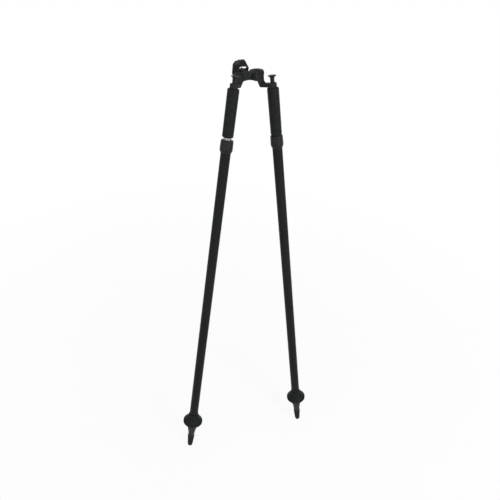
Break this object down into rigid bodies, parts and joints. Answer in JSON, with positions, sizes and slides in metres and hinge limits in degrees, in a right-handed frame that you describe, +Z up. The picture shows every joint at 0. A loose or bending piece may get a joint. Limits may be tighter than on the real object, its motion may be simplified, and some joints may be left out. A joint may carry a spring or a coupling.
{
  "type": "prism pole bipod",
  "caption": "Bipod for a surveying prism pole: a claw head that hooks onto the pole and telescopic legs with thumb-release buttons, grips, foot steps and capped points.",
  "frame": {"origin": "on the pole axis, halfway up the pole seat", "axes": "+Z up along the pole, -Y towards the legs, +X to the right seen from the legs"},
  "size_m": [0.4078, 0.4115, 1.0876],
  "materials": {
    "cast_black": "semi-matt black powder coat on a casting",
    "tube_black": "satin black anodised tube",
    "collar_black": "moulded black nylon, slight gloss",
    "step_black": "moulded black plastic",
    "button_black": "moulded black plastic",
    "grip_rubber": "fine-grained black rubber",
    "cap_rubber": "dull black rubber",
    "ferrule_grey": "dark grey turned metal",
    "aluminium": "drawn bright tube",
    "steel": "zinc-plated",
    "screw_black": "black-oxide steel",
    "nylon": "natural nylon"
  },
  "bodies": {
    "head": {"head_body": "cast_black", "claw_pin": "screw_black", "claw_clip": "screw_black", "claw_spring": "screw_black", "pivot_screws": "screw_black", "wave_washers": "screw_black", "friction_washers": "nylon"},
    "claw": {"claw": "cast_black"},
    "left_upper_leg": {"left_bracket": "cast_black", "left_set_screw": "steel", "left_plug": "tube_black", "left_button_spring": "steel", "left_grip": "grip_rubber", "left_inner_tube": "aluminium", "left_collet": "nylon"},
    "left_release": {"left_button": "button_black", "left_push_rod": "aluminium", "left_cone": "steel", "left_cone_nut": "steel"},
    "left_lower_leg": {"left_collar": "collar_black", "left_wiper": "cap_rubber", "left_bush": "nylon", "left_outer_tube": "tube_black", "left_step": "step_black", "left_ferrule": "ferrule_grey", "left_point": "steel"},
    "left_cap": {"left_cap": "cap_rubber"},
    "right_upper_leg": {"right_bracket": "cast_black", "right_set_screw": "steel", "right_plug": "tube_black", "right_button_spring": "steel", "right_grip": "grip_rubber", "right_inner_tube": "aluminium", "right_collet": "nylon"},
    "right_release": {"right_button": "button_black", "right_push_rod": "aluminium", "right_cone": "steel", "right_cone_nut": "steel"},
    "right_lower_leg": {"right_collar": "collar_black", "right_wiper": "cap_rubber", "right_bush": "nylon", "right_outer_tube": "tube_black", "right_step": "step_black", "right_ferrule": "ferrule_grey", "right_point": "steel"},
    "right_cap": {"right_cap": "cap_rubber"}
  },
  "joints": [
    {"name": "claw_open", "type": "hinge", "parent": "head", "child": "claw", "pos_m": [-0.024, -0.009, 0], "axis": [0, 0, 1], "range_deg": [0, 50], "stiffness_Nm_per_rad": 0.35, "springref_deg": -20.05},
    {"name": "left_splay", "type": "hinge", "parent": "head", "child": "left_upper_leg", "pos_m": [-0.0145, -0.04081, 0.00438], "axis": [0, 0.9613, -0.2756], "range_deg": [-7.2, 20]},
    {"name": "left_press", "type": "slide", "parent": "left_upper_leg", "child": "left_release", "axis": [-0.1253, -0.2735, -0.9537], "range_m": [0, 0.006], "stiffness_N_per_m": 900, "springref_m": -0.006, "deforming": ["left_button_spring"]},
    {"name": "left_extend", "type": "slide", "parent": "left_upper_leg", "child": "left_lower_leg", "axis": [-0.1253, -0.2735, -0.9537], "range_m": [-0.005, 0.645]},
    {"name": "left_cap_pull", "type": "slide", "parent": "left_lower_leg", "child": "left_cap", "axis": [-0.1253, -0.2735, -0.9537], "range_m": [0, 0.06]},
    {"name": "right_splay", "type": "hinge", "parent": "head", "child": "right_upper_leg", "pos_m": [0.0145, -0.04081, 0.00438], "axis": [0, -0.9613, 0.2756], "range_deg": [-7.2, 20]},
    {"name": "right_press", "type": "slide", "parent": "right_upper_leg", "child": "right_release", "axis": [0.1253, -0.2735, -0.9537], "range_m": [0, 0.006], "stiffness_N_per_m": 900, "springref_m": -0.006, "deforming": ["right_button_spring"]},
    {"name": "right_extend", "type": "slide", "parent": "right_upper_leg", "child": "right_lower_leg", "axis": [0.1253, -0.2735, -0.9537], "range_m": [0, 0.65]},
    {"name": "right_cap_pull", "type": "slide", "parent": "right_lower_leg", "child": "right_cap", "axis": [0.1253, -0.2735, -0.9537], "range_m": [0, 0.06]}
  ]
}
